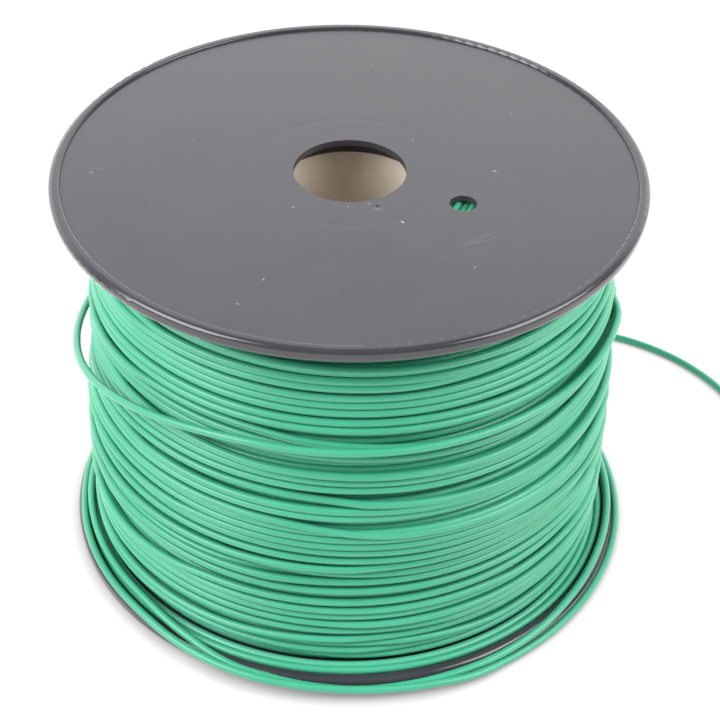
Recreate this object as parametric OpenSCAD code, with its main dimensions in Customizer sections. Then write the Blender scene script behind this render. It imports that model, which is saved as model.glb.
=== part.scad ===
// Wire spool standing upright on its lower flange.
// Two moulded flanges grip the ends of a cardboard core tube. Single-core
// insulated wire is wound on the tube in layers. The last turns are slack:
// one stands off the winding, two lie on and beside the lower rim, and the
// free end runs out over the ground as a tail.
// The origin is the centre of the lower rim's ground plane, and +Z is the
// spool's axis.

/* [Spool] */
// Height over both flanges
spool_h = 146; // [110:1:180]
// Outside diameter of the flanges
flange_d = 200; // [198:1:202]

/* [Flange moulding] */
// Thickness of the flat web of a flange
web_t = 2.2; // [2:0.1:2.6]
// How far the web's outside face lies below the rim
face_recess = 0.9; // [0.7:0.1:1.1]
// Width of the raised rim, measured along a radius
rim_w = 3.8; // [3.6:0.1:4.2]
// Thickness of the rim, measured along the axis
rim_t = 4.9; // [4.7:0.1:5.1]
// Diameter of the spindle bore
bore_d = 38; // [30:0.5:48]
// Diameter of the drive hole
drive_hole_d = 9; // [6:0.5:10]
// Distance of the drive hole from the axis
drive_hole_pos = 41.7; // [40:0.1:60]
// Direction of the drive hole seen from above, in degrees
drive_hole_dir = -30.4; // [-180:0.1:180]

/* [Core tube] */
// Inside diameter of the core tube
core_id = 58.4; // [56:0.2:60]
// Wall thickness of the core tube
core_wall = 3; // [2:0.25:4]
// Depth of the spigot ring that enters the tube
spigot_h = 7.4; // [5:0.2:12]
// Height of the socket ring round the outside of the tube's end
socket_h = 4; // [2:0.5:6]

/* [Wire] */
// Diameter over the insulation
wire_d = 2.7; // [2.5:0.05:2.75]
// Diameter of the bunched copper conductor
conductor_d = 1.36; // [1:0.02:1.5]
// Number of turns in the loosely laid outer layer
outer_turns = 41; // [30:1:46]
// Radius over the outer layer
wound_r = 92.6; // [91.5:0.1:92.7]

/* [Slack turns and tail] */
// Radius of the slack turn where it lies on the ground
ground_r = 101.7; // [101.7:0.1:102]
// Height of the slack turn that stands off the winding, at the front
loose_h = 101.6; // [60:0.2:120]
// How far that slack turn drops towards the rear left
loose_drop = 25; // [0:1:40]
// Length of straight wire between the ground turn and the tail's curve
tail_straight = 84; // [80:1:90]
// Radius of the tail's curve
tail_curve_r = 78; // [70:1:90]

/* [Hidden] */
$fn = 96;

flange_r = flange_d / 2;
bore_r = bore_d / 2;
wire_r = wire_d / 2;
cond_r = conductor_d / 2;
slip = 0.02;
inner_face = face_recess + web_t;
core_r = core_id / 2;
core_out = core_r + core_wall;
socket_w = 1.6;
spigot_w = 2.3;

// Winding: layers of equal depth from the tube to the outer layer
layers = 24;
layer_gap = 0.05;
wind_in = core_out + layer_gap;
layer_pitch = (wound_r + layer_gap - wind_in) / layers;
end_gap = 0.8;
wind_z0 = inner_face + end_gap;
wind_z1 = spool_h - inner_face - end_gap;

// Turn that lies in the corner between the winding and the lower flange
corner_rz = [94.6, inner_face + wire_r + 0.1];
ground_z = wire_r;

// Tail: it leaves the ground turn at tail_az on a tangent
tail_az = 88;
tail_head = tail_az - 90;
tail_p0 = ground_r * [cos(tail_az), sin(tail_az)];
tail_dir = [cos(tail_head), sin(tail_head)];
tail_c = tail_p0 + tail_straight * tail_dir
    + tail_curve_r * [sin(tail_head), -cos(tail_head)];
split = 0.8;
joint_1 = 32;
joint_2 = tail_straight;
joint_3 = joint_2 + 34;
joint_4 = joint_3 + 34;
tail_end = joint_4 + 38;
strand_len = 6;
strand_out = 0.5;

wire_green = [0.28, 0.70, 0.52];
layer_green = [0.22, 0.60, 0.44];
plastic_black = [0.16, 0.16, 0.17];
paper_tan = [0.60, 0.54, 0.48];
copper = [0.80, 0.48, 0.30];

function step(t) = t <= 0 ? 0 : t >= 1 ? 1 : t * t * (3 - 2 * t);
function mix(a, b, t) = a + (b - a) * t;

// Lead-off wire: from the winding down to the top of the rim
rim_rest = [flange_r - 1.8, rim_t + wire_r + 0.05];
function lead_rz(a) = let (t = step((115 - a) / 55)) [
    mix(94.3, rim_rest[0], t), mix(12, rim_rest[1], t)
];

// Slack turn on the winding: level at the front, bulging at the left, where
// it runs down to its lower end at the rear
function loose_rz(a) = [
    wound_r + wire_r + 0.1 + 1.1 * step((-120 - a) / 45)
        * (1 - step((-200 - a) / 50)),
    loose_h - loose_drop * step((-108 - a) / 95)
];

// Smooth curve through p1 and p2, shaped by their neighbours p0 and p3
function curve(p0, p1, p2, p3, t) = 0.5 * (2 * p1 + (p2 - p0) * t
    + (2 * p0 - 5 * p1 + 4 * p2 - p3) * t * t
    + (3 * p1 - p0 - 3 * p2 + p3) * t * t * t);
// Position [r, z] in direction a along a list of [direction, r, z]
function along(keys, a, i = 0) =
    i < len(keys) - 2 && a < keys[i + 1][0] ? along(keys, a, i + 1)
    : let (
        k0 = keys[max(i - 1, 0)], k1 = keys[i], k2 = keys[i + 1],
        k3 = keys[min(i + 2, len(keys) - 1)],
        t = (k1[0] - a) / (k1[0] - k2[0])
    ) [
        curve(k0[1], k1[1], k2[1], k3[1], t),
        max(ground_z, curve(k0[2], k1[2], k2[2], k3[2], t))
    ];

// Rim loop: on the rim at the right, beside it at the front, back over it
// and in above the corner at the left, and out to the ground at the rear
rim_keys = [
    [59.5, rim_rest[0], rim_rest[1]], [30, flange_r - 1.7, 6.3],
    [0, flange_r - 1.8, 6.3], [-24, flange_r - 1.6, 6.35],
    [-40, flange_r - 0.4, 6.05], [-50, flange_r + 0.7, 5],
    [-62, flange_r + 1.35, 3.85], [-76, flange_r + 1.42, 3],
    [-90, flange_r + 1.42, 2.4], [-101, flange_r + 1.42, 3.6],
    [-108, flange_r + 1.1, 4.5], [-116, flange_r + 0.5, 5.3],
    [-127, flange_r - 2.1, 7.1], [-140, 95.4, 8.1], [-154, 95, 8.3],
    [-205, 95, 8.3], [-228, 95.8, 8], [-250, flange_r - 1.6, 7],
    [-268, flange_r + 0.9, 5.9], [-280, flange_r + 1.9, 4.6],
    [-290, flange_r + 2, 2.4], [-297, ground_r, ground_z]
];

// Floor loop: on the ground at the right, lifting at the front, on top of
// the rim at the left, and back to the ground at the rear
floor_keys = [
    [62, ground_r, ground_z], [30, ground_r, ground_z],
    [0, ground_r, ground_z], [-30, flange_r + 1.9, ground_z],
    [-60, flange_r + 2.8, 1.45], [-68, flange_r + 4.2, 2.5],
    [-76, flange_r + 4.2, 3.8], [-90, flange_r + 3.9, 4.9],
    [-104, flange_r + 3.85, 5.6], [-114, flange_r + 3.5, 6],
    [-125, flange_r + 2, 6.1], [-138, flange_r - 0.4, 6.4],
    [-152, flange_r - 1.4, 6.4], [-165, flange_r - 2, 6.35],
    [-180, flange_r - 2.7, 6.3], [-198, flange_r - 2.4, 6.35],
    [-216, flange_r - 0.8, 6.4], [-232, flange_r + 1.1, 5.1],
    [-250, flange_r + 1.8, 2.3], [-262, ground_r, 1.4],
    [-272.1, ground_r, ground_z]
];

function wire_pt(a, rz, k, n) = let (q = 360 * k / n) [
    (rz[0] + wire_r * cos(q)) * cos(a),
    (rz[0] + wire_r * cos(q)) * sin(a),
    rz[1] + wire_r * sin(q)
];

// Wire swept round the axis from direction a0 down to a1, through the given
// list of [direction, [r, z]]
module swept_wire(path, n = 10) {
    m = len(path);
    polyhedron(
        points = [for (s = path, k = [0:n - 1]) wire_pt(s[0], s[1], k, n)],
        faces = concat(
            [[for (k = [0:n - 1]) k]],
            [[for (k = [n - 1:-1:0]) (m - 1) * n + k]],
            [for (i = [0:m - 2], k = [0:n - 1])
                [i * n + k, (i + 1) * n + k, i * n + (k + 1) % n]],
            [for (i = [0:m - 2], k = [0:n - 1])
                [(i + 1) * n + k, (i + 1) * n + (k + 1) % n,
                 i * n + (k + 1) % n]]
        ),
        convexity = 6
    );
}

// Flange profile: web, raised rim with rounded corners, spigot and socket.
// Its face is down, at z = 0.
module rim_profile() {
    r0 = flange_r - rim_w;
    f = 1.7;
    b = 2.1;
    e = 0.8;
    polygon([
        [r0 + e, 0], [flange_r - f, 0], [flange_r, f],
        [flange_r, rim_t - b], [flange_r - b, rim_t],
        [r0 + e, rim_t], [r0, rim_t - e], [r0, e]
    ]);
    translate([r0 + e, e]) circle(e);
    translate([flange_r - f, f]) circle(f);
    translate([flange_r - b, rim_t - b]) circle(b);
    translate([r0 + e, rim_t - e]) circle(e);
}

module flange_body() {
    difference() {
        rotate_extrude($fn = 180) {
            rim_profile();
            translate([bore_r, face_recess])
                square([flange_r - rim_w + 1 - bore_r, web_t]);
            translate([core_r - slip - spigot_w, face_recess + 0.5])
                square([spigot_w, web_t - 0.5 + spigot_h]);
            translate([core_out + slip, face_recess + 0.5])
                square([socket_w, web_t - 0.5 + socket_h]);
        }
        rotate([0, 0, drive_hole_dir]) translate([drive_hole_pos, 0, 0])
            cylinder(d = drive_hole_d, h = inner_face + 1, $fn = 48);
        // gate mark left by the moulding, beside the bore
        translate([7.8, -22, face_recess - 1.6]) sphere(r = 1.9, $fn = 32);
    }
}

module top_flange() color(plastic_black)
    translate([0, 0, spool_h]) mirror([0, 0, 1]) flange_body();

module bottom_flange() color(plastic_black) flange_body();

module core_tube() color(paper_tan)
    translate([0, 0, inner_face + slip]) difference() {
        cylinder(r = core_out, h = spool_h - 2 * inner_face - 2 * slip,
            $fn = 128);
        translate([0, 0, -1]) cylinder(r = core_r, h = spool_h, $fn = 128);
    }

// One closed wound layer. The first is shorter, because the socket rings
// take up room at both ends of the tube.
module layer(i) {
    inset = i == 1 ? socket_h : 0;
    r0 = wind_in + (i - 1) * layer_pitch;
    color(layer_green) translate([0, 0, wind_z0 + inset]) difference() {
        cylinder(r = r0 + layer_pitch - layer_gap,
            h = wind_z1 - wind_z0 - 2 * inset, $fn = 128);
        translate([0, 0, -1])
            cylinder(r = r0, h = wind_z1 - wind_z0 + 2, $fn = 128);
    }
}

// Outer layer: separate turns standing on a thin backing
module outer_turns_body() {
    r0 = wind_in + (layers - 1) * layer_pitch;
    rc = wound_r - wire_r;
    z0 = wind_z0 + wire_r;
    dz = (wind_z1 - wind_z0 - wire_d) / (outer_turns - 1);
    color(wire_green) rotate_extrude($fn = 128) {
        translate([r0, wind_z0 + 0.4])
            square([rc - r0, wind_z1 - wind_z0 - 0.8]);
        difference() {
            for (i = [0:outer_turns - 1])
                translate([rc, z0 + i * dz]) circle(r = wire_r);
            translate([r0 - 5, 0]) square([5, spool_h]);
        }
    }
}

module loose_turn() color(wire_green)
    swept_wire([for (a = [-15:-4:-275]) [a, loose_rz(a)]]);

module corner_turn() color(wire_green)
    rotate_extrude($fn = 128) translate(corner_rz) circle(r = wire_r);

module lead_off_wire() color(wire_green)
    swept_wire([for (a = [115:-5:60.5]) [a, lead_rz(a)]]);
module rim_loop() color(wire_green)
    swept_wire([for (a = [59.5:-4:-297]) [a, along(rim_keys, a)]]);
module floor_loop() color(wire_green)
    swept_wire([for (a = [62:-4.024:-272.1]) [a, along(floor_keys, a)]]);

// Straight or curved stretch of the tail between two distances along it
module tail_run(s0, s1, r) {
    if (s0 < tail_straight)
        translate([tail_p0[0], tail_p0[1], ground_z])
            rotate([0, 0, tail_head]) translate([s0, 0, 0])
                rotate([0, 90, 0]) cylinder(r = r, h = s1 - s0, $fn = 32);
    else
        translate([tail_c[0], tail_c[1], ground_z])
            rotate([0, 0, tail_az - (s1 - tail_straight) / tail_curve_r
                * 180 / PI])
                rotate_extrude(
                    angle = (s1 - s0) / tail_curve_r * 180 / PI, $fn = 180)
                    translate([tail_curve_r, 0]) circle(r = r, $fn = 32);
}

module tail_sheath(s0, s1) color(wire_green)
    difference() {
        tail_run(s0, s1, wire_r - slip);
        tail_run(s0 - 0.5, s1 + 0.5, cond_r + 0.03);
    }

module tail_root() color(wire_green)
    tail_run(0.3, joint_1 - split, wire_r - slip);
module tail_insulation_1() color(wire_green) difference() {
    tail_run(joint_1 + split, joint_2 - split, wire_r - slip);
    tail_run(joint_1, joint_2, cond_r + 0.03);
}
module tail_insulation_2() tail_sheath(joint_2 + split, joint_3 - split);
module tail_insulation_3() tail_sheath(joint_3 + split, joint_4 - split);
module tail_insulation_4() tail_sheath(joint_4 + split, tail_end);
module tail_conductor_1() color(copper)
    tail_run(joint_1 + split, joint_2 - split, cond_r);
module tail_conductor_2() color(copper)
    tail_run(joint_2 + split, joint_3 - split, cond_r);
module tail_conductor_3() color(copper)
    tail_run(joint_3 + split, joint_4 - split, cond_r);
module tail_conductor_4() color(copper)
    tail_run(joint_4 + split, tail_end - strand_len, cond_r);

// Bare ends of the strands at the cut: one in the middle, six and twelve
// round it
strand_r = conductor_d / 10 - 0.006;
module cut_end_strands() color(copper)
    for (ring = [[1, 0], [6, 1], [12, 2]], i = [0:ring[0] - 1])
        translate([tail_c[0], tail_c[1], ground_z]) {
            q = 360 * i / ring[0];
            p = ring[1] * conductor_d / 5;
            rotate([0, 0, tail_az - (tail_end + strand_out - tail_straight)
                / tail_curve_r * 180 / PI])
                rotate_extrude(angle = (strand_len + strand_out - 0.1)
                    / tail_curve_r * 180 / PI, $fn = 180)
                    translate([tail_curve_r + p * cos(q), p * sin(q)])
                        circle(r = strand_r, $fn = 16);
        }

top_flange();
bottom_flange();
core_tube();
layer(1);  // winding_layer_01
layer(2);  // winding_layer_02
layer(3);  // winding_layer_03
layer(4);  // winding_layer_04
layer(5);  // winding_layer_05
layer(6);  // winding_layer_06
layer(7);  // winding_layer_07
layer(8);  // winding_layer_08
layer(9);  // winding_layer_09
layer(10);  // winding_layer_10
layer(11);  // winding_layer_11
layer(12);  // winding_layer_12
layer(13);  // winding_layer_13
layer(14);  // winding_layer_14
layer(15);  // winding_layer_15
layer(16);  // winding_layer_16
layer(17);  // winding_layer_17
layer(18);  // winding_layer_18
layer(19);  // winding_layer_19
layer(20);  // winding_layer_20
layer(21);  // winding_layer_21
layer(22);  // winding_layer_22
layer(23);  // winding_layer_23
outer_turns_body();  // winding_outer_turns
corner_turn();
loose_turn();
lead_off_wire();
rim_loop();
floor_loop();
tail_root();
tail_insulation_1();
tail_insulation_2();
tail_insulation_3();
tail_insulation_4();
tail_conductor_1();
tail_conductor_2();
tail_conductor_3();
tail_conductor_4();
cut_end_strands();
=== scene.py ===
import math

import bpy
import numpy as np
from mathutils import Matrix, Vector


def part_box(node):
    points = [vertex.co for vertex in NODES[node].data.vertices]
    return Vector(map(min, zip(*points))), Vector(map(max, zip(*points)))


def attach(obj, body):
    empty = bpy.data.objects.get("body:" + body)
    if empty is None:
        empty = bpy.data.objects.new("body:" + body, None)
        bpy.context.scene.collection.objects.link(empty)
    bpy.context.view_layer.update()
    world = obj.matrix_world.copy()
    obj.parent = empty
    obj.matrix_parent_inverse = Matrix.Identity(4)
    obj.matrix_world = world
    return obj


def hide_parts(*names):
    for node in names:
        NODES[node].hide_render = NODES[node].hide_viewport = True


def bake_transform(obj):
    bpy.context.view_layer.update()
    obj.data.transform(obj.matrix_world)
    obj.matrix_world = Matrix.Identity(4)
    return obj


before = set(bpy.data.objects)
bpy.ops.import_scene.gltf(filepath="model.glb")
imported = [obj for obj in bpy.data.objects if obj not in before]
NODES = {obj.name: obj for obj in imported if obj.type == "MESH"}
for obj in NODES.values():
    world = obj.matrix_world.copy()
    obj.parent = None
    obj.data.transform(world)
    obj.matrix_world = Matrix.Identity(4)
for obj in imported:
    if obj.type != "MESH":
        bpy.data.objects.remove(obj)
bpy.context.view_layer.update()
MM = 0.001

# ---------------------------------------------------------------- sizes, mm
WIRE_R = 1.35
WIRE_D = 2.7
lo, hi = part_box("top_flange")
FLANGE_R = hi.x / MM
SPOOL_H = hi.z / MM
GROUND_R = 101.7
GROUND_Z = WIRE_R


def smooth(t):
    t = np.clip(t, 0, 1)
    return t * t * (3 - 2 * t)


def mix(a, b, t):
    return a + (b - a) * t


def gauss(x, s):
    k = int(4 * s) + 1
    t = np.arange(-k, k + 1)
    w = np.exp(-t * t / (2.0 * s * s))
    w /= w.sum()
    return np.convolve(np.pad(x, (k, k), "edge"), w, "valid")


def noise1(n, corr, rng):
    x = gauss(rng.standard_normal(n), corr)
    return x / x.std()


# ---------------------------------------------------------------- materials
def new_mat(name):
    m = bpy.data.materials.new(name)
    m.use_nodes = True
    nt = m.node_tree
    nt.nodes.clear()
    out = nt.nodes.new("ShaderNodeOutputMaterial")
    bsdf = nt.nodes.new("ShaderNodeBsdfPrincipled")
    nt.links.new(bsdf.outputs[0], out.inputs[0])
    return m, nt, bsdf


def node(nt, kind, **values):
    n = nt.nodes.new(kind)
    for k, v in values.items():
        if hasattr(n, k) and k not in n.inputs:
            setattr(n, k, v)
        else:
            n.inputs[k].default_value = v
    return n


def math_node(nt, op, a, b=None, c=None, clamp=False):
    n = nt.nodes.new("ShaderNodeMath")
    n.operation = op
    n.use_clamp = clamp
    for i, v in enumerate((a, b, c)):
        if v is None:
            continue
        if isinstance(v, (int, float)):
            n.inputs[i].default_value = v
        else:
            nt.links.new(v, n.inputs[i])
    return n.outputs[0]


def ramp(nt, src, stops):
    n = nt.nodes.new("ShaderNodeValToRGB")
    nt.links.new(src, n.inputs[0])
    e = n.color_ramp.elements
    while len(e) < len(stops):
        e.new(0.5)
    for el, (pos, col) in zip(e, stops):
        el.position = pos
        el.color = (col[0], col[1], col[2], 1.0) if len(col) == 3 else col
    return n.outputs[0]


def mix_col(nt, fac, a, b, mode="MIX"):
    n = nt.nodes.new("ShaderNodeMix")
    n.data_type = "RGBA"
    n.blend_type = mode
    for sock, v in ((n.inputs[0], fac), (n.inputs[6], a), (n.inputs[7], b)):
        if isinstance(v, (int, float)):
            sock.default_value = v
        elif isinstance(v, tuple):
            sock.default_value = (v[0], v[1], v[2], 1.0)
        else:
            nt.links.new(v, sock)
    return n.outputs[2]


def lin(r, g, b):
    """sRGB 0..255 to linear."""
    return tuple(
        (c / 255 / 12.92) if c <= 10.3 else ((c / 255 + 0.055) / 1.055) ** 2.4
        for c in (r, g, b)
    )


GREEN = (0.046, 0.350, 0.204)
GREEN_LIGHT = (0.070, 0.412, 0.254)
GREEN_DEEP = (0.030, 0.286, 0.157)


def wire_material(name, painted_shade=0.0):
    m, nt, bsdf = new_mat(name)
    tint = node(nt, "ShaderNodeAttribute", attribute_name="tint")
    flow = node(nt, "ShaderNodeAttribute", attribute_name="flow")
    geo = node(nt, "ShaderNodeTexCoord")
    # streaks drawn out along the wire, as the sheath leaves the die
    streak = node(nt, "ShaderNodeTexNoise", Scale=1.0, Detail=4.0, Roughness=0.6)
    nt.links.new(flow.outputs["Vector"], streak.inputs["Vector"])
    cloud = node(nt, "ShaderNodeTexNoise", Scale=38.0, Detail=3.0, Roughness=0.55)
    nt.links.new(geo.outputs["Object"], cloud.inputs["Vector"])
    grain = node(nt, "ShaderNodeTexNoise", Scale=2600.0, Detail=2.0, Roughness=0.6)
    nt.links.new(geo.outputs["Object"], grain.inputs["Vector"])
    a = math_node(nt, "MULTIPLY_ADD", streak.outputs["Fac"], 0.9, -0.45)
    b = math_node(nt, "MULTIPLY_ADD", cloud.outputs["Fac"], 0.5, -0.25)
    c = math_node(nt, "MULTIPLY", tint.outputs["Fac"], 0.22)
    s = math_node(nt, "ADD", math_node(nt, "ADD", a, b), c)
    f = math_node(nt, "ADD", s, 0.5, clamp=True)
    col = ramp(nt, f, [(0.0, GREEN_DEEP), (0.5, GREEN), (1.0, GREEN_LIGHT)])
    # painted shade: a darker green is mixed into the wire colour, for the shade on turns that lie under the outer
    # layers
    if painted_shade:
        col = mix_col(nt, painted_shade, col, (0.03, 0.22, 0.13))
    nt.links.new(col, bsdf.inputs["Base Color"])
    r = math_node(nt, "MULTIPLY_ADD", streak.outputs["Fac"], 0.16, 0.30)
    nt.links.new(r, bsdf.inputs["Roughness"])
    bsdf.inputs["IOR"].default_value = 1.5
    bsdf.inputs["Subsurface Weight"].default_value = 0.0
    bump = node(nt, "ShaderNodeBump", Strength=0.25, Distance=0.00005)
    h = math_node(nt, "MULTIPLY_ADD", grain.outputs["Fac"], 0.5, 0.0)
    h = math_node(nt, "MULTIPLY_ADD", streak.outputs["Fac"], 1.0, h)
    nt.links.new(h, bump.inputs["Height"])
    nt.links.new(bump.outputs[0], bsdf.inputs["Normal"])
    return m


def flange_material(name, marks=()):
    m, nt, bsdf = new_mat(name)
    geo = node(nt, "ShaderNodeTexCoord")
    pos = geo.outputs["Object"]
    sep = node(nt, "ShaderNodeSeparateXYZ")
    nt.links.new(pos, sep.inputs[0])
    rad = math_node(
        nt,
        "SQRT",
        math_node(
            nt,
            "ADD",
            math_node(nt, "MULTIPLY", sep.outputs[0], sep.outputs[0]),
            math_node(nt, "MULTIPLY", sep.outputs[1], sep.outputs[1]),
        ),
    )
    cloud = node(nt, "ShaderNodeTexNoise", Scale=38.0, Detail=2.0, Roughness=0.5)
    nt.links.new(pos, cloud.inputs["Vector"])
    grain = node(nt, "ShaderNodeTexNoise", Scale=3800.0, Detail=2.0, Roughness=0.7)
    nt.links.new(pos, grain.inputs["Vector"])
    smear = node(nt, "ShaderNodeTexNoise", Scale=16.0, Detail=2.0, Roughness=0.5)
    nt.links.new(pos, smear.inputs["Vector"])
    f = math_node(nt, "MULTIPLY_ADD", cloud.outputs["Fac"], 0.5, math_node(nt, "MULTIPLY", smear.outputs["Fac"], 0.5))
    col = ramp(
        nt, f, [(0.15, (0.022, 0.0212, 0.027)), (0.85, (0.046, 0.0445, 0.052))]
    )
    # dust specks and short scuffs at stated places: x, y, angle, length, width (mm)
    for x, y, ang, ln, wd, strength in marks:
        mp = node(nt, "ShaderNodeMapping", vector_type="TEXTURE")
        mp.inputs["Location"].default_value = (x * MM, y * MM, 0)
        mp.inputs["Rotation"].default_value = (0, 0, math.radians(ang))
        mp.inputs["Scale"].default_value = (ln * MM, wd * MM, 1.0)
        flat = node(nt, "ShaderNodeCombineXYZ")
        nt.links.new(sep.outputs[0], flat.inputs[0])
        nt.links.new(sep.outputs[1], flat.inputs[1])
        nt.links.new(flat.outputs[0], mp.inputs["Vector"])
        ln_ = node(nt, "ShaderNodeVectorMath", operation="LENGTH")
        nt.links.new(mp.outputs[0], ln_.inputs[0])
        k = math_node(nt, "MULTIPLY", math_node(nt, "SUBTRACT", 1.0, ln_.outputs["Value"]), 2.5 if wd < 0.5 else 1.0, clamp=True)
        if wd >= 0.5:
            # a scuff is a patch of hair-fine lines, faded at its edges
            hair = node(nt, "ShaderNodeTexNoise", Scale=1.0, Detail=2.0, Roughness=0.6)
            hv = node(nt, "ShaderNodeVectorMath", operation="MULTIPLY")
            nt.links.new(mp.outputs[0], hv.inputs[0])
            hv.inputs[1].default_value = (1.3, 5.0, 1.0)
            nt.links.new(hv.outputs[0], hair.inputs["Vector"])
            hf = math_node(nt, "MULTIPLY", math_node(nt, "SUBTRACT", hair.outputs["Fac"], 0.42), 5.0, clamp=True)
            k = math_node(nt, "MULTIPLY", k, hf)
        col = mix_col(nt, math_node(nt, "MULTIPLY", k, strength), col, (0.62, 0.61, 0.60))
    nt.links.new(col, bsdf.inputs["Base Color"])
    rough = math_node(nt, "MULTIPLY_ADD", f, 0.36, 0.14)
    rimmed = math_node(nt, "GREATER_THAN", rad, 0.0962)
    rough = math_node(nt, "MULTIPLY", rough, math_node(nt, "MULTIPLY_ADD", rimmed, -0.45, 1.0))
    nt.links.new(rough, bsdf.inputs["Roughness"])
    bsdf.inputs["IOR"].default_value = 1.52
    # shallow sink ring over the spigot, and moulded micro-texture
    q = math_node(nt, "DIVIDE", math_node(nt, "SUBTRACT", rad, 0.0327), 0.0011)
    ring = math_node(nt, "EXPONENT", math_node(nt, "MULTIPLY", math_node(nt, "MULTIPLY", q, q), -1.0))
    h = math_node(nt, "MULTIPLY", ring, -0.55)
    h = math_node(nt, "MULTIPLY_ADD", grain.outputs["Fac"], 0.10, h)
    h = math_node(nt, "MULTIPLY_ADD", cloud.outputs["Fac"], 0.3, h)
    bump = node(nt, "ShaderNodeBump", Strength=0.55, Distance=0.00006)
    nt.links.new(h, bump.inputs["Height"])
    ng = nt.nodes.new("ShaderNodeNewGeometry")
    ns = node(nt, "ShaderNodeSeparateXYZ")
    nt.links.new(ng.outputs["Normal"], ns.inputs[0])
    nl = math_node(nt, "SQRT", math_node(nt, "ADD", math_node(nt, "MULTIPLY", ns.outputs[0], ns.outputs[0]), math_node(nt, "MULTIPLY", ns.outputs[1], ns.outputs[1])))
    dot = math_node(nt, "ADD", math_node(nt, "MULTIPLY", ns.outputs[0], sep.outputs[0]), math_node(nt, "MULTIPLY", ns.outputs[1], sep.outputs[1]))
    k = math_node(nt, "DIVIDE", math_node(nt, "MULTIPLY", nl, math_node(nt, "SIGN", dot)), rad)
    nn = node(nt, "ShaderNodeCombineXYZ")
    nt.links.new(math_node(nt, "MULTIPLY", k, sep.outputs[0]), nn.inputs[0])
    nt.links.new(math_node(nt, "MULTIPLY", k, sep.outputs[1]), nn.inputs[1])
    nt.links.new(ns.outputs[2], nn.inputs[2])
    outer = math_node(nt, "GREATER_THAN", rad, 0.09)
    pick = nt.nodes.new("ShaderNodeMix")
    pick.data_type = "VECTOR"
    nt.links.new(outer, pick.inputs[0])
    nt.links.new(ng.outputs["Normal"], pick.inputs[4])
    nt.links.new(nn.outputs[0], pick.inputs[5])
    nt.links.new(pick.outputs[1], bump.inputs["Normal"])
    nt.links.new(bump.outputs[0], bsdf.inputs["Normal"])
    return m


def board_material(name):
    m, nt, bsdf = new_mat(name)
    geo = node(nt, "ShaderNodeTexCoord")
    pos = geo.outputs["Object"]
    sep = node(nt, "ShaderNodeSeparateXYZ")
    nt.links.new(pos, sep.inputs[0])
    ang = math_node(nt, "ARCTAN2", sep.outputs[1], sep.outputs[0])
    # wound paper: a spiral seam, with fibre running along the spiral
    spiral = math_node(nt, "MULTIPLY_ADD", ang, 1.0 / (2 * math.pi), math_node(nt, "MULTIPLY", sep.outputs[2], 14.0))
    fr = math_node(nt, "FRACT", spiral)
    seam = math_node(nt, "SUBTRACT", 1.0, math_node(nt, "MULTIPLY", math_node(nt, "ABSOLUTE", math_node(nt, "SUBTRACT", fr, 0.5)), 55.0), clamp=True)
    fib_v = node(nt, "ShaderNodeCombineXYZ")
    nt.links.new(math_node(nt, "MULTIPLY", spiral, 60.0), fib_v.inputs[0])
    nt.links.new(math_node(nt, "MULTIPLY", sep.outputs[2], 60.0), fib_v.inputs[1])
    nt.links.new(math_node(nt, "MULTIPLY", ang, 1.5), fib_v.inputs[2])
    fibre = node(nt, "ShaderNodeTexNoise", Scale=1.4, Detail=6.0, Roughness=0.7)
    nt.links.new(fib_v.outputs[0], fibre.inputs["Vector"])
    fleck = node(nt, "ShaderNodeTexNoise", Scale=900.0, Detail=3.0, Roughness=0.7)
    nt.links.new(pos, fleck.inputs["Vector"])
    v = math_node(nt, "MULTIPLY_ADD", fleck.outputs["Fac"], 0.4, math_node(nt, "MULTIPLY", fibre.outputs["Fac"], 0.6))
    col = ramp(nt, v, [(0.3, (0.68, 0.60, 0.50)), (0.7, (0.80, 0.72, 0.62))])
    col = mix_col(nt, math_node(nt, "MULTIPLY", seam, 0.22), col, (0.35, 0.29, 0.22))
    nt.links.new(col, bsdf.inputs["Base Color"])
    bsdf.inputs["Roughness"].default_value = 0.48
    bump = node(nt, "ShaderNodeBump", Strength=0.5, Distance=0.00008)
    nt.links.new(math_node(nt, "SUBTRACT", v, seam), bump.inputs["Height"])
    nt.links.new(bump.outputs[0], bsdf.inputs["Normal"])
    return m


def copper_material(name):
    m, nt, bsdf = new_mat(name)
    geo = node(nt, "ShaderNodeTexCoord")
    nz = node(nt, "ShaderNodeTexNoise", Scale=1800.0, Detail=3.0)
    nt.links.new(geo.outputs["Object"], nz.inputs["Vector"])
    col = ramp(nt, nz.outputs["Fac"], [(0.3, (0.62, 0.27, 0.13)), (0.7, (0.86, 0.46, 0.28))])
    nt.links.new(col, bsdf.inputs["Base Color"])
    bsdf.inputs["Metallic"].default_value = 1.0
    nt.links.new(math_node(nt, "MULTIPLY_ADD", nz.outputs["Fac"], 0.2, 0.18), bsdf.inputs["Roughness"])
    return m


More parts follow.
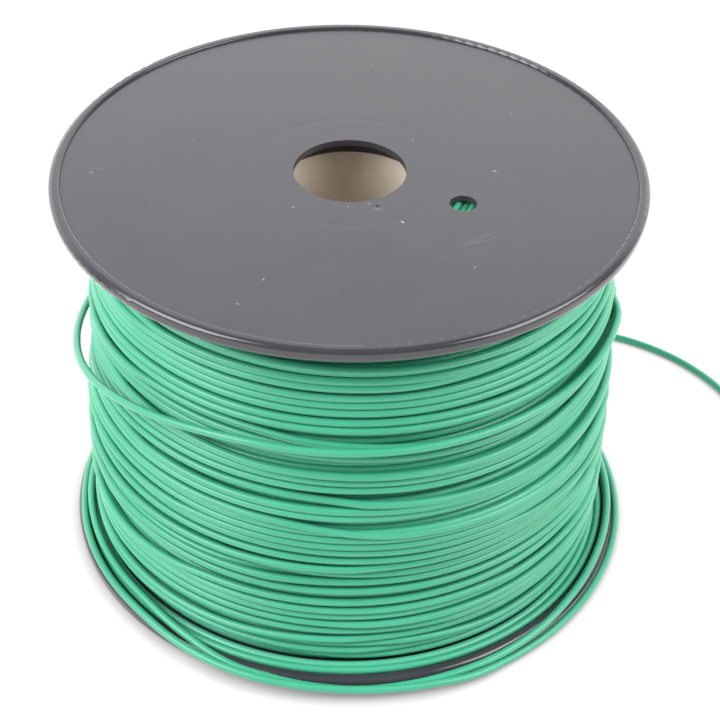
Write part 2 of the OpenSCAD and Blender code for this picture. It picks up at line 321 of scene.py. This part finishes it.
def turns_material(name):
    """Closed inner sleeves: turns drawn as ridges of the wire's own pitch, with painted shade darkening the grooves
    between turns and the crests lightened as a painted highlight.
    """
    m, nt, bsdf = new_mat(name)
    geo = node(nt, "ShaderNodeTexCoord")
    sep = node(nt, "ShaderNodeSeparateXYZ")
    nt.links.new(geo.outputs["Object"], sep.inputs[0])
    ph = math_node(nt, "FRACT", math_node(nt, "MULTIPLY", sep.outputs[2], 1 / 0.0027))
    d = math_node(nt, "MULTIPLY", math_node(nt, "SUBTRACT", ph, 0.5), 2.0)
    hgt = math_node(nt, "SQRT", math_node(nt, "SUBTRACT", 1.0, math_node(nt, "MULTIPLY", d, d), clamp=True))
    nz = node(nt, "ShaderNodeTexNoise", Scale=60.0, Detail=3.0)
    nt.links.new(geo.outputs["Object"], nz.inputs["Vector"])
    f = math_node(nt, "MULTIPLY", hgt, math_node(nt, "MULTIPLY_ADD", nz.outputs["Fac"], 0.3, 0.8))
    # painted shade in the grooves between turns, darker with depth, and a lighter crest as a painted highlight
    col = ramp(nt, f, [(0.0, (0.010, 0.07, 0.045)), (0.6, (0.055, 0.30, 0.19)), (1.0, (0.075, 0.38, 0.25))])
    nt.links.new(col, bsdf.inputs["Base Color"])
    bsdf.inputs["Roughness"].default_value = 0.5
    bump = node(nt, "ShaderNodeBump", Strength=1.0, Distance=0.0009)
    nt.links.new(hgt, bump.inputs["Height"])
    nt.links.new(bump.outputs[0], bsdf.inputs["Normal"])
    return m


MARKS = (
    (48.3, -2.1, 20, 0.55, 0.32, 0.7), (49.3, -2.6, 60, 0.30, 0.25, 0.5),
    (22.5, 17.9, 0, 0.45, 0.30, 0.35), (15.3, -31.2, -50, 0.75, 0.28, 0.85),
    (5.2, -18.9 - 1.4, 10, 0.35, 0.3, 0.5), (-1.7, -21.6, 10, 0.35, 0.3, 0.45),
    (-19.7, -21.3, 0, 0.4, 0.3, 0.5), (34.6, -44.6, 32, 3.8, 1.1, 0.09),
    (36.6, -42.6, 30, 3.6, 0.9, 0.09), (40.4, -40.4, 28, 4.6, 0.9, 0.10),
    (43.4, -38.8, 26, 3.4, 0.7, 0.09), (38.4, -43.3, 36, 3.0, 0.20, 0.12),
    (42.6, -41.8, 32, 3.2, 0.18, 0.10), (26.6, -51.1, 20, 2.6, 1.0, 0.09),
    (24.4, -52.8, 40, 1.5, 0.6, 0.10), (36.0, -57.0, 55, 0.9, 0.16, 0.5),
    (-52.0, 21.0, 15, 0.5, 0.2, 0.35), (58.0, 34.0, -40, 0.45, 0.25, 0.40),
    (-30.0, -61.0, 70, 0.9, 0.16, 0.5), (-38.0, -73.5, -30, 0.8, 0.16, 0.55),
    (-86.0, 1.5, 25, 0.9, 0.18, 0.5), (-83.5, 4.0, 60, 0.6, 0.16, 0.4),
    (12.0, 70.0, 5, 0.4, 0.25, 0.3), (7.7, -23.7, 0, 2.4, 1.3, 0.22),
)
M_WIRE = wire_material("pvc_wire")
# darker copy of the wire material for the under turns: painted shade
M_UNDER_SHADED = wire_material("pvc_wire_under_painted_shade", 0.08)
M_FLANGE = flange_material("moulded_plastic", MARKS)
M_FLANGE_B = flange_material("moulded_plastic_lower")
M_BOARD = board_material("wound_paper_board")
M_COPPER = copper_material("copper_strands")
M_TURNS_GROOVE_SHADED = turns_material("inner_turns_painted_groove_shade")


def assign(obj, mat):
    if not obj.material_slots:
        obj.data.materials.append(mat)
    for s in obj.material_slots:
        s.material = mat


# ---------------------------------------------------------------- geometry
def add_object(name, verts, faces, mat, attrs=None, flat=()):
    me = bpy.data.meshes.new(name)
    me.from_pydata((np.asarray(verts) * MM).tolist(), [], faces)
    me.polygons.foreach_set("use_smooth", [True] * len(me.polygons))
    for i in flat:
        me.polygons[i].use_smooth = False
    for key, (kind, data) in (attrs or {}).items():
        at = me.attributes.new(key, kind, "POINT")
        prop = "vector" if kind == "FLOAT_VECTOR" else "value"
        at.data.foreach_set(prop, np.asarray(data, np.float32).ravel())
    me.update()
    ob = bpy.data.objects.new(name, me)
    bpy.context.scene.collection.objects.link(ob)
    me.materials.append(mat)
    return ob


def arc_len(P):
    return np.concatenate([[0], np.cumsum(np.linalg.norm(np.diff(P, axis=0), axis=1))])


def tube(name, P, ref, sides, mat, tint=0.0, rad=WIRE_R, s0=0.0, caps=(0, 0), seed=0.0):
    """Round wire along P (mm). ref is the outward direction at each point."""
    P = np.asarray(P, float)
    m = len(P)
    T = np.gradient(P, axis=0)
    T /= np.linalg.norm(T, axis=1)[:, None]
    E1 = ref - (ref * T).sum(1)[:, None] * T
    E1 /= np.linalg.norm(E1, axis=1)[:, None]
    E2 = np.cross(T, E1)
    q = np.arange(sides) * 2 * np.pi / sides
    V = P[:, None] + rad * (np.cos(q)[None, :, None] * E1[:, None] + np.sin(q)[None, :, None] * E2[:, None])
    V = V.reshape(-1, 3)
    i = np.arange(m - 1)[:, None] * sides
    k = np.arange(sides)[None]
    k2 = (k + 1) % sides
    F = np.stack([i + k, i + k2, i + sides + k2, i + sides + k], -1).reshape(-1, 4)
    faces = F.tolist()
    if caps[0]:
        faces.append(list(range(sides - 1, -1, -1)))
    if caps[1]:
        faces.append(list(range((m - 1) * sides, m * sides)))
    s = arc_len(P) + s0
    tint = np.broadcast_to(np.asarray(tint, float), (m,))
    flow = np.stack(
        [
            np.repeat(s * 0.022 + seed, sides),
            np.tile(3.1 * np.cos(q), m) + seed * 0.37,
            np.tile(3.1 * np.sin(q), m),
        ],
        -1,
    )
    ob = add_object(
        name, V, faces, mat,
        {"tint": ("FLOAT", np.repeat(tint, sides)), "flow": ("FLOAT_VECTOR", flow)},
    )
    return ob


def polar(az, r, z):
    a = np.radians(az)
    return np.stack([r * np.cos(a), r * np.sin(a), z], -1)


def radial(az):
    a = np.radians(az)
    return np.stack([np.cos(a), np.sin(a), 0 * a], -1)


# ------------------------------------------------- the irregular outer layers
NT = 240
STEP = 360.0 / NT
AZ = 60.0 - np.arange(NT) * STEP
Z_LOW, Z_HIGH = 4.7, 141.2
SIDE = 0.5 + 0.5 * np.cos(np.radians(AZ))
L_Z = [0, 12, 33, 58, 64, 80, 96, 104, 112, 130, 146]
L_R = [92.2, 92.2, 92.3, 92.0, 91.2, 90.2, 88.9, 88.7, 87.9, 87.6, 87.6]
R_Z = [0, 12, 30, 46, 60, 76, 92, 104, 110, 116, 130, 146]
R_R = [92.2, 92.2, 93.1, 92.7, 93.5, 92.8, 92.2, 92.1, 90.6, 89.6, 88.9, 88.7]


def envelope(z):
    """Radius over the finished winding at each azimuth bin for heights z."""
    return mix(np.interp(z, L_Z, L_R), np.interp(z, R_Z, R_R), SIDE)


def support(z, RP, ZP, under):
    base = envelope(z) - under
    if len(RP):
        d = z[None] - ZP
        v = np.where(np.abs(d) < WIRE_D, RP + np.sqrt(np.clip(WIRE_D**2 - d * d, 0, None)), -1e9)
        return np.maximum(base, v.max(0))
    return base


def run_max(x, k):
    p = np.pad(x, (k, k), "edge")
    return np.max([p[i : i + len(x)] for i in range(2 * k + 1)], axis=0)


def coil_path(turns, z_from, z_to, rng, spread, least, events):
    """Heights of a wire laid turn after turn, each clear of the last one."""
    n = turns * NT
    pitch = (z_to - z_from) / (turns - 1.0)
    nom = mix(z_from, z_to, np.arange(n) / (n - 1.0))
    wob = noise1(n, 34, rng) * spread + noise1(n, 90, rng) * spread * 0.5
    z = np.empty(n)
    u = np.arange(NT) / (NT - 1.0)
    z[:NT] = z_from + 2.9 * smooth((u - 0.72) / 0.28)
    for k in range(1, turns):
        p = z[(k - 1) * NT : k * NT]
        sl = slice(k * NT, (k + 1) * NT)
        g = pitch - 0.14 + 0.12 * (nom[sl] - p - pitch) + wob[sl] * min(1.0, k / 4.0)
        g = gauss(np.clip(g, least, 5.3), 3)
        z[sl] = np.minimum(p + g, z_to - (turns - 1 - k) * least)
    z = gauss(z, 4)
    roam = np.zeros(n)
    x = np.arange(n)
    placed = []
    for _ in range(4000):
        if len(placed) >= events[0]:
            break
        c, hw = rng.uniform(1.5 * NT, n - 1.5 * NT), rng.uniform(events[3], events[4])
        if any(abs(c - o) < 2.6 * NT and min(abs((c - o) % NT), NT - abs((c - o) % NT)) < hw + w for o, w in placed):
            continue
        placed.append((c, hw))
        amp = rng.uniform(events[1], events[2]) * (1 if rng.random() < 0.5 else -1)
        v = np.clip((x - c) / hw, -1, 1)
        flat = 1 - smooth((np.abs(v) - 0.35) / 0.65)
        roam += amp * flat * (np.abs(x - c) < hw)
    return np.clip(z + roam, 4.5, Z_HIGH)


def lay(below, z_all, under, over=1.2, flip=False):
    """Drop the wire onto what is already wound, turn by turn."""
    turns = len(z_all) // NT
    if flip:
        z_all = (z_all.min() + z_all.max()) - z_all
    Rs, Zs = [], []
    for k in range(turns):
        z = z_all[k * NT : (k + 1) * NT]
        RP = np.array([r for r, _ in below] + Rs).reshape(-1, NT)
        ZP = np.array([q for _, q in below] + Zs).reshape(-1, NT)
        if len(ZP):
            near = (np.abs(ZP - z[None]) < 4).any(1)
            RP, ZP = RP[near], ZP[near]
        r = support(z, RP, ZP, under)
        if k:
            r = gauss(run_max(np.concatenate([Rs[-1][-24:], r]), 3), 3.5)[24:]
            r = r + (Rs[-1][-1] - r[0]) * np.exp(-np.arange(NT) / 9.0)
        else:
            r = gauss(run_max(r, 3), 3.5)
        # the foot of the winding stays clear of the slack turns beside it
        cap = 92.1 - 0.65 * smooth((z - 4.8) / 1.8) + 2.6 * smooth((z - 13.0) / 8.0)
        r = np.minimum(r, np.minimum(cap, envelope(z) - 1.35 + over))
        if under < 3:
            r = mix(cap, r, smooth((z - 4.8) / 2.0))
        Rs.append(r)
        Zs.append(z)
    return Rs, Zs


rng = np.random.default_rng(20)
B_R, B_Z = lay([], coil_path(50, 4.7, 141.0, rng, 0.02, 2.71, (0, 1, 2, 20, 40)), 6.6)
C_R, C_Z = lay(list(zip(B_R, B_Z)), coil_path(46, 4.9, 141.0, rng, 0.16, 2.71, (8, 1.6, 2.8, 30, 60)), 4.25, flip=True)
D_R, D_Z = lay(
    list(zip(C_R, C_Z)), coil_path(41, 4.6, 140.9, rng, 0.72, 2.74, (30, 2.2, 4.0, 30, 88)), 1.95, 1.0
)


def path_of(Rs, Zs, every=1):
    R = np.concatenate(Rs)[::every]
    Z = np.concatenate(Zs)[::every]
    az = AZ[0] - np.arange(len(R)) * STEP * every
    return az, R, Z


def winding_piece(name, az, R, Z, sides, mat, tint, s0, seed, body="spool"):
    P = polar(az, R, Z)
    ob = tube(name, P, radial(az), sides, mat, tint, s0=s0, seed=seed, caps=(1, 1))
    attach(ob, body)
    return ob


az, R, Z = path_of(B_R, B_Z, 2)
wb = winding_piece("winding_under_turns", az, R, Z, 8, M_UNDER_SHADED, 0.0, 0, 5.0)
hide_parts("winding_layer_21", "winding_layer_22")
az, R, Z = path_of(C_R, C_Z, 2)
wc = winding_piece("winding_middle_turns", az, R, Z, 12, M_WIRE, noise1(len(R), 90, rng) * 0.5, 0, 9.0)
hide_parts("winding_layer_23")
az, R, Z = path_of(D_R, D_Z)
tint_d = noise1(len(R), 170, rng) * 0.8
cut = [0, 14 * NT, 28 * NT, len(R) - 1]
for j, nm in enumerate(("lower", "centre", "upper")):
    s = slice(cut[j], cut[j + 1] + 1)
    wd = winding_piece("winding_top_turns_" + nm, az[s], R[s], Z[s], 14, M_WIRE, tint_d[s], cut[j] * 2.4, 2.0)
    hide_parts("winding_outer_turns")


# ---------------------------------------------------- slack turns and tail
def spline(keys, a):
    """The same smooth curve as the CAD uses, through [direction, r, z]."""
    keys = np.array(keys, float)
    out = []
    for x in a:
        i = 0
        while i < len(keys) - 2 and x < keys[i + 1][0]:
            i += 1
        k0, k1, k2, k3 = keys[max(i - 1, 0)], keys[i], keys[i + 1], keys[min(i + 2, len(keys) - 1)]
        t = (k1[0] - x) / (k1[0] - k2[0])
        p = 0.5 * (2 * k1 + (k2 - k0) * t + (2 * k0 - 5 * k1 + 4 * k2 - k3) * t * t + (3 * k1 - k0 - 3 * k2 + k3) * t**3)
        out.append((p[1], max(p[2], GROUND_Z)))
    return np.array(out)


FR = FLANGE_R
RIM_KEYS = [
    [59.5, FR - 1.8, 6.3], [30, FR - 1.7, 6.3], [0, FR - 1.8, 6.3], [-24, FR - 1.6, 6.35],
    [-40, FR - 0.4, 6.05], [-50, FR + 0.7, 5], [-62, FR + 1.35, 3.85], [-76, FR + 1.42, 3],
    [-90, FR + 1.42, 2.4], [-101, FR + 1.42, 3.6], [-108, FR + 1.1, 4.5], [-116, FR + 0.5, 5.3],
    [-127, FR - 2.1, 7.1], [-140, 95.4, 8.1], [-154, 95, 8.3], [-205, 95, 8.3],
    [-228, 95.8, 8], [-250, FR - 1.6, 7], [-268, FR + 0.9, 5.9], [-280, FR + 1.9, 4.6],
    [-290, FR + 2, 2.4], [-297, GROUND_R, GROUND_Z],
]
FLOOR_KEYS = [
    [62, GROUND_R, GROUND_Z], [30, GROUND_R, GROUND_Z], [0, GROUND_R, GROUND_Z],
    [-30, FR + 1.9, GROUND_Z], [-60, FR + 2.8, 1.45], [-68, FR + 4.2, 2.5],
    [-76, FR + 4.2, 3.8], [-90, FR + 3.9, 4.9], [-104, FR + 3.85, 5.6], [-114, FR + 3.5, 6],
    [-125, FR + 2, 6.1], [-138, FR - 0.4, 6.4], [-152, FR - 1.4, 6.4], [-165, FR - 2, 6.35],
    [-180, FR - 2.7, 6.3], [-198, FR - 2.4, 6.35], [-216, FR - 0.8, 6.4], [-232, FR + 1.1, 5.1],
    [-250, FR + 1.8, 2.3], [-262, GROUND_R, 1.4], [-272.1, GROUND_R, GROUND_Z],
]

# lead-off wire rises out of the winding, then lies on the rim
a = np.arange(131.0, 59.4, -1.0)
t = smooth((115 - a) / 55)
r = mix(94.3, FR - 1.8, t) - 3.4 * smooth((a - 112) / 17)
z = mix(12.0, 6.3, t) + 1.6 * smooth((a - 112) / 19)
lead = tube("slack_lead_off", polar(a, r, z), radial(a), 16, M_WIRE, 0.3, seed=11.0)
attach(lead, "loose_coil"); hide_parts("lead_off_wire")

a = np.arange(59.5, -297.01, -1.5)
a = np.append(a, -297.0)
rz = spline(RIM_KEYS, a)
rim = tube("slack_turn_on_rim", polar(a, rz[:, 0], rz[:, 1]), radial(a), 16, M_WIRE,
           0.35 * noise1(len(a), 20, rng), seed=13.0)
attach(rim, "loose_coil"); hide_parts("rim_loop")

# the floor turn runs on into the first straight stretch of the tail
TAIL_AZ = 88.0
HEAD = math.radians(TAIL_AZ - 90)
P0 = GROUND_R * np.array([math.cos(math.radians(TAIL_AZ)), math.sin(math.radians(TAIL_AZ))])
H = np.array([math.cos(HEAD), math.sin(HEAD)])
STRAIGHT, CURVE_R = 84.0, 78.0
CC = P0 + STRAIGHT * H + CURVE_R * np.array([math.sin(HEAD), -math.cos(HEAD)])


def tail_pt(s):
    s = np.asarray(s, float)
    ang = np.radians(TAIL_AZ) - np.maximum(s - STRAIGHT, 0) / CURVE_R
    line = P0[None] + s[:, None] * H[None]
    bend = CC[None] + CURVE_R * np.stack([np.cos(ang), np.sin(ang)], -1)
    xy = np.where((s <= STRAIGHT)[:, None], line, bend)
    return np.column_stack([xy, np.full(len(s), GROUND_Z)])


a = np.arange(62.0, -270.6, -1.5)
rz = spline(FLOOR_KEYS, a)
Pf = polar(a, rz[:, 0], rz[:, 1])
s_root = np.arange(0.0, 16.01, 2.0)
Pr = tail_pt(s_root)
ref = np.vstack([radial(a), np.tile([[-math.sin(HEAD) * -1, math.cos(HEAD), 0]], (len(Pr), 1))])
Pall = np.vstack([Pf, Pr])
floor_turn = tube("slack_turn_on_floor", Pall, ref, 16, M_WIRE, 0.3 * noise1(len(Pall), 20, rng), seed=17.0)
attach(floor_turn, "loose_coil")
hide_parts("floor_loop", "tail_root")

CUTS = [16.0, 58.0, 101.0, 135.0, 171.0]
TAIL_END = 190.0


def tail_ref(s):
    e = 0.01
    d = tail_pt(np.asarray(s) + e) - tail_pt(np.asarray(s) - e)
    d /= np.linalg.norm(d, axis=1)[:, None]
    return np.stack([-d[:, 1], d[:, 0], 0 * d[:, 0]], -1)


for j in range(4):
    s = np.arange(CUTS[j], CUTS[j + 1] + 0.01, 1.0)
    ob = tube(f"tail_sheath_{j + 1}", tail_pt(s), tail_ref(s), 16, M_WIRE, 0.1, s0=CUTS[j], seed=17.0)
    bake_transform(ob)
    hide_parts(f"tail_insulation_{j + 1}", f"tail_conductor_{j + 1}")

# last stretch, with the cut face round the bare strands
s = np.arange(CUTS[4], TAIL_END + 0.01, 1.0)
P = tail_pt(s)
n = 20
d = tail_ref(s)
T = np.gradient(P, axis=0)
T /= np.linalg.norm(T, axis=1)[:, None]
E2 = np.cross(T, d)
q = np.arange(n) * 2 * np.pi / n
rings = [(P[i], WIRE_R, i) for i in range(len(P) - 1)]
rings += [(P[-1] - 0.12 * T[-1], WIRE_R, -1), (P[-1], WIRE_R - 0.12, -1), (P[-1], 0.74, -1), (P[-1] - 0.3 * T[-1], 0.70, -1), (P[-1] - 3.0 * T[-1], 0.70, -1)]
V, F = [], []
for p, rr, i in rings:
    V += [p + rr * (math.cos(b) * d[i] + math.sin(b) * E2[i]) for b in q]
for i in range(len(rings) - 1):
    for k in range(n):
        k2 = (k + 1) % n
        F.append([i * n + k, i * n + k2, (i + 1) * n + k2, (i + 1) * n + k])
ss = np.concatenate([s[:-1], [TAIL_END - 0.1, TAIL_END, TAIL_END, TAIL_END, TAIL_END]])
flow = np.stack([np.repeat(ss * 0.022 + 17.0, n), np.tile(1.9 * np.cos(q), len(rings)) + 6.29, np.tile(1.9 * np.sin(q), len(rings))], -1)
end = add_object("tail_sheath_end", np.array(V), F, M_WIRE, {"tint": ("FLOAT", np.full(len(V), 0.1)), "flow": ("FLOAT_VECTOR", flow)})
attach(end, "tail_4")

# slack turn that stands off the winding
a = np.arange(-2.0, -290.01, -1.5)
r = 92.6 + WIRE_R + 0.1 + 1.1 * smooth((-120 - a) / 45) * (1 - smooth((-200 - a) / 50))
z = 101.6 - 25 * smooth((-108 - a) / 95)
r = r - 4.2 * smooth((a + 17) / 13) - 4.6 * smooth((-273 - a) / 14)
loose = tube("loose_top_turn", polar(a, r, z), radial(a), 16, M_WIRE, 0.25 * noise1(len(a), 20, rng), seed=23.0)
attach(loose, "spool"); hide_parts("loose_turn")

# turn in the corner above the lower flange
a = np.arange(0, 360.0, 3.0)
r = 94.83 - 0.06 * (1 + np.sin(np.radians(a * 2 + 40)))
z = 4.48 + 0.08 * (1 + np.sin(np.radians(a * 3)))
Pc = polar(np.append(a, 360.0), np.append(r, r[0]), np.append(z, z[0]))
corner = tube("corner_turn_wire", Pc, radial(np.append(a, 360.0)), 14, M_WIRE, 0.0, seed=29.0)
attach(corner, "spool"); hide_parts("corner_turn")


# ------------------------- inner layers whose upper ends show in the drive hole
def coil_layer(k, top, seed):
    """Layer k as stacked turns: round at the upper end, plain further down."""
    r0 = 32.25 + (k - 1) * 2.5167
    rc = r0 + 1.2334
    prof = []
    for t_ in range(4):
        zc = top - t_ * 2.72
        for q_ in np.linspace(math.radians(84), math.radians(-78), 9):
            prof.append((rc + 1.33 * math.cos(q_), zc + 1.33 * math.sin(q_)))
    prof.append((rc + 1.2, top - 12.0))
    prof.append((rc + 1.2, 4.2))
    prof.append((rc - 1.2, 4.2))
    prof.append((rc - 1.2, top - 3.0))
    for q_ in np.linspace(math.radians(200), math.radians(100), 7):
        prof.append((rc + 1.3 * math.cos(q_), top + 1.33 * math.sin(q_)))
    prof = np.array(prof)
    ns = 96
    ang = np.arange(ns) * 2 * np.pi / ns
    wob = 0.14 * np.sin(2 * ang + seed) + 0.1 * np.sin(3 * ang + 2 * seed)
    w = np.clip((prof[:, 1] - 120) / 15, 0, 1)
    V = np.stack([
        prof[None, :, 0] * np.cos(ang)[:, None],
        prof[None, :, 0] * np.sin(ang)[:, None],
        prof[None, :, 1] + w[None] * wob[:, None] * 0.5 + 0 * ang[:, None],
    ], -1).reshape(-1, 3)
    m_ = len(prof)
    F = []
    for i in range(ns):
        i2 = (i + 1) % ns
        for j in range(m_):
            j2 = (j + 1) % m_
            F.append([i * m_ + j, i2 * m_ + j, i2 * m_ + j2, i * m_ + j2])
    ar = np.repeat(ang, m_)
    flow = np.stack([ar * rc * 0.022 + seed * 3, np.tile(prof[:, 1] * 1.1, ns), np.tile(prof[:, 0] * 1.1, ns)], -1)
    ob = add_object(f"coil_layer_{k:02d}", V, F, M_WIRE, {"tint": ("FLOAT", np.full(len(V), 0.0)), "flow": ("FLOAT_VECTOR", flow)})
    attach(ob, "spool"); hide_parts(f"winding_layer_{k:02d}")
    return ob


for k, top in ((2, 140.7), (3, 141.25), (4, 140.4), (5, 141.2), (6, 140.5), (7, 141.1)):
    coil_layer(k, top, 0.7 * k)

# ------------------------------------------------------- CAD nodes that stay
assign(NODES["top_flange"], M_FLANGE)
assign(NODES["bottom_flange"], M_FLANGE_B)
assign(NODES["core_tube"], M_BOARD)
assign(NODES["cut_end_strands"], M_COPPER)
for k in [1] + list(range(8, 21)):
    assign(NODES[f"winding_layer_{k:02d}"], M_TURNS_GROOVE_SHADED)

# ---------------------------------------------------------- floor and light
fm = bpy.data.materials.new("floor_glow_painted_contact_shadow")
fm.use_nodes = True
nt = fm.node_tree
nt.nodes.clear()
out = nt.nodes.new("ShaderNodeOutputMaterial")
dif = node(nt, "ShaderNodeBsdfDiffuse")
dif.inputs["Color"].default_value = (0.93, 0.93, 0.93, 1)
# painted contact shadow: the floor glows rather than being lit, and ambient occlusion dims the glow close to the spool
# and wires
ao = nt.nodes.new("ShaderNodeAmbientOcclusion")
ao.samples = 12
ao.inputs["Distance"].default_value = 0.007
painted_contact_shadow = math_node(nt, "POWER", ao.outputs["AO"], 0.8)
em = nt.nodes.new("ShaderNodeEmission")
# painted reflection: rays from glossy surfaces see the floor glow brighter, lighting up its reflection in the flange
# rims
path = nt.nodes.new("ShaderNodeLightPath")
painted_reflection_glow = math_node(nt, "MULTIPLY_ADD", path.outputs["Is Glossy Ray"], 0.8, 1.0)
nt.links.new(math_node(nt, "MULTIPLY", painted_contact_shadow, painted_reflection_glow), em.inputs["Strength"])
em.inputs["Color"].default_value = (1.12, 1.11, 1.11, 1)
mixs = nt.nodes.new("ShaderNodeMixShader")
mixs.inputs[0].default_value = 0.9
nt.links.new(dif.outputs[0], mixs.inputs[1])
nt.links.new(em.outputs[0], mixs.inputs[2])
nt.links.new(mixs.outputs[0], out.inputs[0])
me = bpy.data.meshes.new("floor")
me.from_pydata([(-8, -8, -0.00004), (8, -8, -0.00004), (8, 8, -0.00004), (-8, 8, -0.00004)], [], [(0, 1, 2, 3)])
me.materials.append(fm)
floor = bpy.data.objects.new("floor", me)
bpy.context.scene.collection.objects.link(floor)

WORLD_L, BACK_L = 0.45, 1.30
world = bpy.data.worlds.new("studio")
bpy.context.scene.world = world
world.use_nodes = True
nt = world.node_tree
nt.nodes.clear()
wo = nt.nodes.new("ShaderNodeOutputWorld")
bg = nt.nodes.new("ShaderNodeBackground")
wdir = nt.nodes.new("ShaderNodeTexCoord")
wsep = nt.nodes.new("ShaderNodeSeparateXYZ")
nt.links.new(wdir.outputs["Generated"], wsep.inputs[0])


def step_node(src, a, b):
    n_ = nt.nodes.new("ShaderNodeMapRange")
    n_.interpolation_type = "SMOOTHSTEP"
    n_.inputs["From Min"].default_value = a
    n_.inputs["From Max"].default_value = b
    nt.links.new(src, n_.inputs["Value"])
    return n_.outputs[0]


back = step_node(wsep.outputs[1], 0.15, 0.75)
low = math_node(nt, "SUBTRACT", 1.0, step_node(wsep.outputs[2], 0.52, 0.92))
band = math_node(nt, "MULTIPLY", math_node(nt, "MULTIPLY", back, low), BACK_L)
lower = math_node(nt, "SUBTRACT", 1.0, step_node(wsep.outputs[2], 0.40, 0.60))
band = math_node(nt, "ADD", band, math_node(nt, "MULTIPLY", math_node(nt, "MULTIPLY", back, lower), 0.85))
front = math_node(nt, "MULTIPLY", step_node(math_node(nt, "MULTIPLY", wsep.outputs[1], -1.0), -0.1, 0.9), -0.12)
total = math_node(nt, "ADD", math_node(nt, "ADD", band, front), WORLD_L)
bg.inputs["Color"].default_value = (1.0, 0.995, 1.0, 1)
nt.links.new(total, bg.inputs["Strength"])
nt.links.new(bg.outputs[0], wo.inputs[0])


def area(name, loc, target, size, power):
    ld = bpy.data.lights.new(name, "AREA")
    ld.shape = "RECTANGLE"
    ld.size, ld.size_y = size
    ld.energy = power
    ob = bpy.data.objects.new(name, ld)
    bpy.context.scene.collection.objects.link(ob)
    loc, target = np.array(loc, float), np.array(target, float)
    zc = loc - target
    zc /= np.linalg.norm(zc)
    up = np.array([0, 0, 1.0]) if abs(zc[2]) < 0.98 else np.array([0, 1.0, 0])
    xc = np.cross(up, zc); xc /= np.linalg.norm(xc)
    yc = np.cross(zc, xc)
    ob.matrix_world = Matrix(((xc[0], yc[0], zc[0], loc[0]), (xc[1], yc[1], zc[1], loc[1]), (xc[2], yc[2], zc[2], loc[2]), (0, 0, 0, 1)))
    return ob


area("left_softbox", (-1.0, -0.38, 0.92), (0, 0, 0.08), (0.9, 0.9), 25.0)
area("right_softbox", (1.0, -0.38, 0.92), (0, 0, 0.08), (0.9, 0.9), 20.0)

# ------------------------------------------------------------------- camera
cam_d = bpy.data.cameras.new("camera")
cam = bpy.data.objects.new("camera", cam_d)
bpy.context.scene.collection.objects.link(cam)
pitch, yaw, roll = 0.66625, 0.06916, 0.01939
fw = np.array([math.sin(yaw) * math.cos(pitch), math.cos(yaw) * math.cos(pitch), -math.sin(pitch)])
rt = np.array([math.cos(yaw), -math.sin(yaw), 0.0])
up = np.cross(rt, fw)
r2 = rt * math.cos(roll) + up * math.sin(roll)
u2 = -rt * math.sin(roll) + up * math.cos(roll)
C = np.array([-34.09, -558.63, 504.61]) * MM
cam.matrix_world = Matrix(((r2[0], u2[0], -fw[0], C[0]), (r2[1], u2[1], -fw[1], C[1]), (r2[2], u2[2], -fw[2], C[2]), (0, 0, 0, 1)))
cam_d.sensor_fit = "HORIZONTAL"
cam_d.sensor_width = 36.0
cam_d.lens = 1983.24 / 720 * 36.0
cam_d.clip_start = 0.01
cam_d.clip_end = 50
bpy.context.scene.camera = cam

vs = bpy.context.scene.view_settings
vs.view_transform = "Standard"
vs.look = "None"
vs.exposure = 0
vs.gamma = 1
